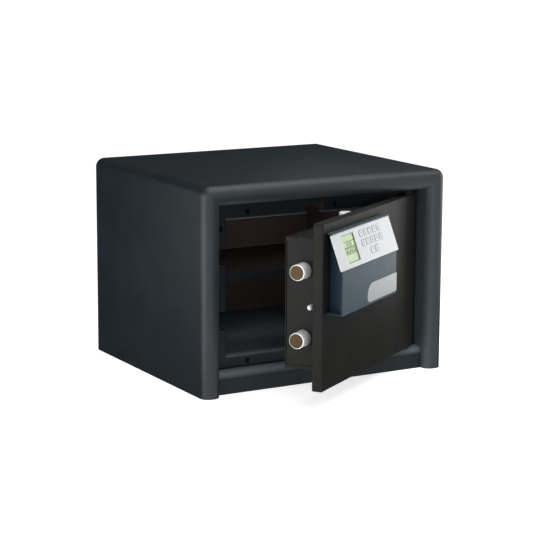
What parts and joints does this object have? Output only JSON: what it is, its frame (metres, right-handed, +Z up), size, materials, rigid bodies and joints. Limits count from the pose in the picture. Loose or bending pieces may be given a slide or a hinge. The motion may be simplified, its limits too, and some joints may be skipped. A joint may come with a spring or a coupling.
{
  "type": "electronic home safe",
  "caption": "Fire-resistant home safe with a rounded hollow border, an open hinged door, motor-driven round bolts, a sloping keypad housing and a shelf inside.",
  "frame": {"origin": "centre of the cabinet's base, on the floor it stands on", "axes": "+X along the front towards the hinge side, +Y into the depth away from the front, +Z up"},
  "size_m": [0.44, 0.5782, 0.327],
  "materials": {
    "shell_paint": "satin",
    "door_paint": "satin",
    "liner_paint": "matte",
    "mineral_fill": "matte",
    "bolt_steel": "polished",
    "zinc_steel": "satin",
    "screw_steel": "satin",
    "housing_plastic": "satin",
    "silver_plastic": "satin",
    "display_window": "gloss",
    "circuit_board": "matte",
    "cell_wrap": "gloss",
    "bush_plastic": "matte",
    "plug_plastic": "matte",
    "gear_brass": "satin"
  },
  "bodies": {
    "cabinet": {"outer_shell": "shell_paint", "back_panel": "shell_paint", "base_panel": "shell_paint", "front_sill": "shell_paint", "inner_liner": "liner_paint", "insulation_fill": "mineral_fill", "frame_ring": "shell_paint", "shelf": "liner_paint", "shelf_rail_left": "liner_paint", "shelf_rail_right": "liner_paint", "hinge_pin_top": "zinc_steel", "hinge_pin_bottom": "zinc_steel", "anchor_plug_left": "plug_plastic", "anchor_plug_right": "plug_plastic", "frame_screw_top_left": "screw_steel", "frame_screw_top_right": "screw_steel", "frame_screw_left": "screw_steel", "frame_screw_bottom": "screw_steel"},
    "door": {"door_plate": "door_paint", "door_filling": "mineral_fill", "door_back_plate": "door_paint", "hinge_bush_top": "bush_plastic", "hinge_bush_bottom": "bush_plastic", "lock_case": "door_paint", "lock_case_cover": "door_paint", "bolt_guide_upper": "bush_plastic", "bolt_guide_lower": "bush_plastic", "bolt_guide_top": "bush_plastic", "gear_spindle": "zinc_steel", "gear_motor": "zinc_steel", "contact_guide": "bush_plastic", "lock_housing": "housing_plastic", "keypad_panel": "silver_plastic", "display_module": "display_window", "circuit_board": "circuit_board", "battery_1": "cell_wrap", "battery_2": "cell_wrap", "battery_3": "cell_wrap", "battery_4": "cell_wrap"},
    "bolt_work": {"bolt_bar": "zinc_steel", "side_bolt_upper": "bolt_steel", "side_bolt_lower": "bolt_steel"},
    "top_bolt": {"top_bolt": "bolt_steel"},
    "drive_gear": {"drive_gear": "gear_brass"},
    "motor_pinion": {"motor_pinion": "gear_brass"},
    "contact_plunger": {"contact_plunger": "bolt_steel"},
    "battery_cover": {"battery_cover": "silver_plastic"},
    "key_1_1": {"key_1_1": "silver_plastic"},
    "key_1_2": {"key_1_2": "silver_plastic"},
    "key_1_3": {"key_1_3": "silver_plastic"},
    "key_1_4": {"key_1_4": "silver_plastic"},
    "key_1_5": {"key_1_5": "silver_plastic"},
    "key_2_1": {"key_2_1": "silver_plastic"},
    "key_2_2": {"key_2_2": "silver_plastic"},
    "key_2_3": {"key_2_3": "silver_plastic"},
    "key_2_4": {"key_2_4": "silver_plastic"},
    "key_2_5": {"key_2_5": "silver_plastic"},
    "key_3_1": {"key_3_1": "silver_plastic"},
    "key_3_2": {"key_3_2": "silver_plastic"}
  },
  "joints": [
    {"name": "door_hinge", "type": "hinge", "parent": "cabinet", "child": "door", "pos_m": [0.164, -0.171, 0.16], "axis": [0, 0, 1], "range_deg": [-33.2, 76.8]},
    {"name": "bolt_throw", "type": "slide", "parent": "door", "child": "bolt_work", "axis": [-0.8368, -0.5476, 0], "range_m": [0, 0.014]},
    {"name": "top_bolt_lift", "type": "slide", "parent": "door", "child": "top_bolt", "axis": [0, 0, 1], "range_m": [0, 0.014]},
    {"name": "drive_gear_turn", "type": "hinge", "parent": "door", "child": "drive_gear", "pos_m": [-0.01087, -0.24838, 0.15], "axis": [0.5476, -0.8368, 0], "range_deg": [0, 50.2]},
    {"name": "motor_pinion_turn", "type": "hinge", "parent": "door", "child": "motor_pinion", "pos_m": [-0.01087, -0.24838, 0.126], "axis": [0.5476, -0.8368, 0], "range_deg": [-100.4, 0]},
    {"name": "contact_press", "type": "slide", "parent": "door", "child": "contact_plunger", "axis": [0.8368, 0.5476, 0], "range_m": [0, 0.003], "stiffness_N_per_m": 400, "springref_m": -0.002},
    {"name": "battery_cover_slide", "type": "slide", "parent": "door", "child": "battery_cover", "axis": [0.8368, 0.5476, 0], "range_m": [0, 0.012]},
    {"name": "key_1_1_press", "type": "slide", "parent": "door", "child": "key_1_1", "axis": [-0.5157, 0.788, -0.3363], "range_m": [0, 0.001], "stiffness_N_per_m": 500, "springref_m": -0.0006},
    {"name": "key_1_2_press", "type": "slide", "parent": "door", "child": "key_1_2", "axis": [-0.5157, 0.788, -0.3363], "range_m": [0, 0.001], "stiffness_N_per_m": 500, "springref_m": -0.0006},
    {"name": "key_1_3_press", "type": "slide", "parent": "door", "child": "key_1_3", "axis": [-0.5157, 0.788, -0.3363], "range_m": [0, 0.001], "stiffness_N_per_m": 500, "springref_m": -0.0006},
    {"name": "key_1_4_press", "type": "slide", "parent": "door", "child": "key_1_4", "axis": [-0.5157, 0.788, -0.3363], "range_m": [0, 0.001], "stiffness_N_per_m": 500, "springref_m": -0.0006},
    {"name": "key_1_5_press", "type": "slide", "parent": "door", "child": "key_1_5", "axis": [-0.5157, 0.788, -0.3363], "range_m": [0, 0.001], "stiffness_N_per_m": 500, "springref_m": -0.0006},
    {"name": "key_2_1_press", "type": "slide", "parent": "door", "child": "key_2_1", "axis": [-0.5157, 0.788, -0.3363], "range_m": [0, 0.001], "stiffness_N_per_m": 500, "springref_m": -0.0006},
    {"name": "key_2_2_press", "type": "slide", "parent": "door", "child": "key_2_2", "axis": [-0.5157, 0.788, -0.3363], "range_m": [0, 0.001], "stiffness_N_per_m": 500, "springref_m": -0.0006},
    {"name": "key_2_3_press", "type": "slide", "parent": "door", "child": "key_2_3", "axis": [-0.5157, 0.788, -0.3363], "range_m": [0, 0.001], "stiffness_N_per_m": 500, "springref_m": -0.0006},
    {"name": "key_2_4_press", "type": "slide", "parent": "door", "child": "key_2_4", "axis": [-0.5157, 0.788, -0.3363], "range_m": [0, 0.001], "stiffness_N_per_m": 500, "springref_m": -0.0006},
    {"name": "key_2_5_press", "type": "slide", "parent": "door", "child": "key_2_5", "axis": [-0.5157, 0.788, -0.3363], "range_m": [0, 0.001], "stiffness_N_per_m": 500, "springref_m": -0.0006},
    {"name": "key_3_1_press", "type": "slide", "parent": "door", "child": "key_3_1", "axis": [-0.5157, 0.788, -0.3363], "range_m": [0, 0.001], "stiffness_N_per_m": 500, "springref_m": -0.0006},
    {"name": "key_3_2_press", "type": "slide", "parent": "door", "child": "key_3_2", "axis": [-0.5157, 0.788, -0.3363], "range_m": [0, 0.001], "stiffness_N_per_m": 500, "springref_m": -0.0006}
  ],
  "couplings": [
    {"joint": "top_bolt_lift", "follows": "bolt_throw", "ratio": 1},
    {"joint": "drive_gear_turn", "follows": "bolt_throw", "rad_per_m": 62.5},
    {"joint": "motor_pinion_turn", "follows": "bolt_throw", "rad_per_m": -125}
  ]
}
